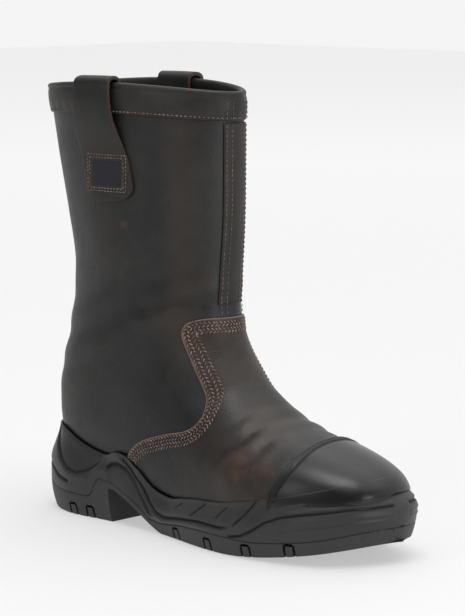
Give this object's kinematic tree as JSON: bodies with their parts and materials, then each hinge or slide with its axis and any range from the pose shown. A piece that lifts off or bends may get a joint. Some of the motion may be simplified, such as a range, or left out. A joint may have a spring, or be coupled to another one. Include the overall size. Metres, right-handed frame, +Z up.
{
  "type": "safety boot",
  "caption": "Pull-on rigger safety boot with a tall leather shaft, toe bumper, pull loops and a lugged rubber sole.",
  "frame": {"origin": "on the floor, under the middle of the boot's overall box", "axes": "+X from heel to toe, +Y to the wearer's inner side, +Z up"},
  "size_m": [0.3142, 0.1136, 0.3087],
  "materials": {
    "shaft_leather": "oiled, satin, nearly black brown",
    "vamp_leather": "oiled, cloudy brown, slightly scuffed",
    "trim_leather": "oiled, cut edges reddish brown",
    "side_rubber": "moulded, satin",
    "tread_rubber": "moulded, matte",
    "insole_textile": "dark textile over foam"
  },
  "bodies": {
    "root": {"upper": "shaft_leather", "vamp": "vamp_leather", "collar_band": "trim_leather", "front_strip": "trim_leather", "pull_loop_outer": "trim_leather", "pull_loop_inner": "trim_leather", "insole": "insole_textile", "midsole": "side_rubber", "outsole": "tread_rubber"}
  },
  "joints": []
}
